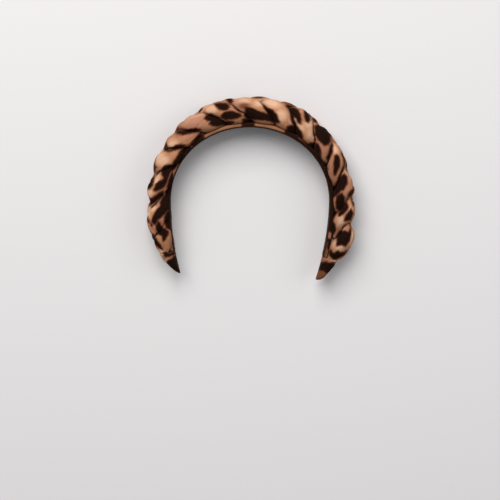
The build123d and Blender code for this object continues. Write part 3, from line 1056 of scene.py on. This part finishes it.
def ground_tone(start, streaks, clouds, grain):
    """Ground of the print: streaked tan with painted highlights, rosy places partly painted shade, brown
    places, and painted shade towards the inner line and in the creases.
    """
    shade = streaks.between(0.35, 0.75) * 0.5 + clouds.between(0.4, 0.7) * 0.3
    shade = shade + grain.between(0.4, 0.7) * 0.25
    tone = shade.mix(GROUND_TAN, GROUND_SHADE)
    # painted highlights where the pile catches the light
    tone = (start.stored("painted_highlight") * HIGHLIGHT_STRENGTH).mix(tone, PAINTED_HIGHLIGHT)
    # rosy places, partly painted shade, and a random rosy tone
    rosy_and_shaded = start.stored("rose_and_shade") * ROSE_AND_SHADE_STRENGTH + clouds.between(0.5, 0.75) * 0.3
    tone = rosy_and_shaded.mix(tone, ROSE_AND_SHADE)
    # browner places and the painted shade towards the inner line
    tone = (start.stored("brown_and_shade") * BROWN_AND_SHADE_STRENGTH).mix(tone, BROWN_AND_SHADE)
    # painted shade in the creases where the strands press together
    crease_shade_mask = start.stored("crease_shade_mask").between(0.2, 0.9)
    return (crease_shade_mask * CREASE_SHADE_STRENGTH).mix(tone, BROWN_AND_SHADE)


def print_tone(start, cloth, ground, streaks, wear):
    """Ragged dark blotches over the ground, with a brown rim and browner where they are worn."""
    teeth = cloth.woven(0.45, 2.0, 4.0, 0.68) - 0.5
    wander = cloth.woven(0.22, 0.22) - 0.5
    edge = start.stored("blotch") + teeth * EDGE_TEETH + wander * EDGE_WANDER + EDGE_SPREAD
    rim = edge.between(-1.6, 0.1)
    dark = edge.between(-0.25, 0.4)
    core = edge.between(0.1, 1.5)
    worn = streaks.between(0.45, 0.8) * 0.4 + (wear + RIM_WEAR) - core * RIM_WEAR
    rimmed = (rim * RIM_STRENGTH).mix(ground, BLOTCH_RIM)
    return dark.mix(rimmed, worn.mix(BLOTCH_DARK, BLOTCH_WORN))


def printed_cloth(name, length, girth, wear=0.0):
    """Short-pile cloth with its print, painted highlights and shade, fine ribs and a soft sheen. Wear
    browns the dark of the print.
    """
    material, shader, start = new_material(name, CLOTH_FINISH)
    cloth = start.cloth(length, girth)
    streaks = cloth.woven(0.5, 4.0, 3.0, 0.6)
    clouds = cloth.woven(0.10, 0.16, 3.0)
    grain = cloth.woven(1.1, 7.0, 2.0, 0.6)
    ribs = cloth.woven(2.2, 3.4, 2.0, 0.6)
    creases = cloth.woven(0.05, 0.42)
    ground = ground_tone(start, streaks, clouds, grain)
    print_tone(start, cloth, ground, streaks, wear).feed(shader.inputs["Base Color"])
    height = ribs * 0.12 + creases * 0.9 + streaks * 0.15 + grain * 0.12
    height.bump(0.5, 0.0008).feed(shader.inputs["Normal"])
    (0.9 - streaks * 0.15).feed(shader.inputs["Roughness"])
    return material


def lining_cloth():
    """Dark ribbon with fine cross ribs, for the inside of the band; its dark brown also paints the shadow
    line along the band's inner edge.
    """
    material, shader, start = new_material("ribbed_lining", LINING_FINISH)
    cloth = start.cloth(BRAID_LENGTH, LINING_GIRTH)
    wave = {"Vector": cloth, "Scale": 0.45, "Distortion": 0.6, "Detail": 2.0, "Detail Scale": 1.5}
    ribs = start.node("ShaderNodeTexWave", {"bands_direction": "X"}, wave, output=1)
    worn = cloth.noise(0.25, 3.0)
    tone = (ribs * 0.6 + worn.between(0.4, 0.7) * 0.4).mix(LINING_SHADOW_BROWN, LINING_RIB)
    tone.feed(shader.inputs["Base Color"])
    (ribs + worn * 0.3).bump(0.4, 0.0003).feed(shader.inputs["Normal"])
    (0.85 - ribs * 0.1).feed(shader.inputs["Roughness"])
    return material


def floor_paper():
    """Pale, faintly mottled paper."""
    material, shader, start = new_material("pale_paper", PAPER_FINISH)
    place = start.node("ShaderNodeTexCoord", output=3)
    place.noise(900.0, 3.0).mix(PAPER_GREY, PAPER_PALE).feed(shader.inputs["Base Color"])
    return material


def add_camera():
    """Camera at the photograph's angle, above the floor that the headband lies on."""
    down = math.radians(CAMERA_LOOKS_DOWN)
    roll = math.radians(CAMERA_ROLL)
    right = Vector((1.0, 0.0, 0.0))
    up = Vector((0.0, math.cos(down), -math.sin(down)))
    back = right.cross(up)
    rolled_right = right * math.cos(roll) + up * math.sin(roll)
    rolled_up = up * math.cos(roll) - right * math.sin(roll)
    beside = CROWN_IN_PHOTO[0] - PHOTO_WIDTH / 2
    above = PHOTO_WIDTH / 2 - CROWN_IN_PHOTO[1]
    over_right = beside * math.cos(roll) - above * math.sin(roll)
    over_up = beside * math.sin(roll) + above * math.cos(roll)
    climb = over_up * CAMERA_DISTANCE
    climb /= CAMERA_DISTANCE * math.cos(down) + over_up * math.sin(down)
    aim = Vector(ARCH_CROWN.tolist()) - Vector((over_right, climb, 0.0))
    place = (aim + back * CAMERA_DISTANCE) * MM
    data = bpy.data.cameras.new("camera")
    data.sensor_width = SENSOR_WIDTH
    data.lens = SENSOR_WIDTH * CAMERA_DISTANCE / PHOTO_WIDTH
    camera = bpy.data.objects.new("camera", data)
    turn = Matrix((rolled_right, rolled_up, back)).transposed()
    camera.matrix_world = Matrix.Translation(place) @ turn.to_4x4()
    bpy.context.scene.collection.objects.link(camera)
    bpy.context.scene.camera = camera
    return place


def add_floor(material):
    """Pale floor that the headband lies on."""
    bm = bmesh.new()
    bmesh.ops.create_grid(bm, x_segments=1, y_segments=1, size=FLOOR_SIZE)
    floor = new_piece("floor", bm, material)


def add_area_light(name, place, size, power, tint):
    """Soft square light that faces the headband."""
    data = bpy.data.lights.new(name, "AREA")
    data.shape = "SQUARE"
    data.size = size
    data.energy = power
    data.color = tint
    light = bpy.data.objects.new(name, data)
    light.location = place
    light.rotation_euler = Vector(place).to_track_quat("Z", "Y").to_euler()
    bpy.context.scene.collection.objects.link(light)


def add_lights():
    """Soft key light from the upper left, a weak fill from the right, and an even pale room."""
    for name, (place, size, power, tint) in LIGHTS.items():
        add_area_light(name, place, size, power, tint)
    world = bpy.data.worlds.new("room")
    world.use_nodes = True
    room = world.node_tree.nodes["Background"]
    room.inputs["Color"].default_value = ROOM_TINT
    room.inputs["Strength"].default_value = ROOM_STRENGTH
    bpy.context.scene.world = world
    bpy.context.scene.view_settings.view_transform = "Standard"


def add_braid():
    """The three strands: stuffed, pleated where they are pinched, and printed."""
    strand_cloth = printed_cloth("printed_cloth_on_the_braid", BRAID_LENGTH, STRAND_GIRTH)
    for index in range(3):
        strand = make_strand(index, strand_cloth)
        settle_cloth(strand)
        subdivide(strand)
        add_pleats(strand, index)
        print_cloth(strand, PRINT_SEED_BRAID + index, BRAID_START, BRAID_LENGTH, STRAND_GIRTH)
        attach(strand, "root")
        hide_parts("strand_" + "abc"[index])


def add_folded_ends():
    """The two folded ends of the cover."""
    for side, node in ((-1, "tip_left"), (1, "tip_right")):
        length = end_length(side)
        end = make_folded_end(side, printed_cloth("printed_cloth_on_" + node, length, END_GIRTH))
        subdivide(end)
        print_cloth(end, PRINT_SEED_ENDS + side, side * cuff_rim(side), side * length, END_GIRTH)
        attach(end, "root")
        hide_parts(node)


def add_band():
    """The band in its cover, with the ribbon that lines it."""
    band_cloth = printed_cloth("printed_cloth_on_the_band", BRAID_LENGTH, BAND_GIRTH, BAND_WEAR)
    band = make_strip("covered_band", band_cloth, LINING_THICKNESS, BAND_THICKNESS, 0.0, BAND_ROUNDNESS)
    subdivide(band)
    # the band's front edge takes the painted shadow of the lobes and its dark print
    print_cloth(band, PRINT_SEED_BAND, BRAID_START, BRAID_LENGTH, BAND_GIRTH, EDGE_SHADOW_AND_BLOTCHES)
    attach(band, "root")
    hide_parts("band")
    ribbon = lining_cloth()
    lining = make_strip("ribbon_lining", ribbon, 0.0, LINING_THICKNESS, LINING_MARGIN, LINING_ROUNDNESS)
    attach(lining, "root")


camera_place = add_camera()
add_lights()
add_floor(floor_paper())
add_braid()
add_folded_ends()
add_band()
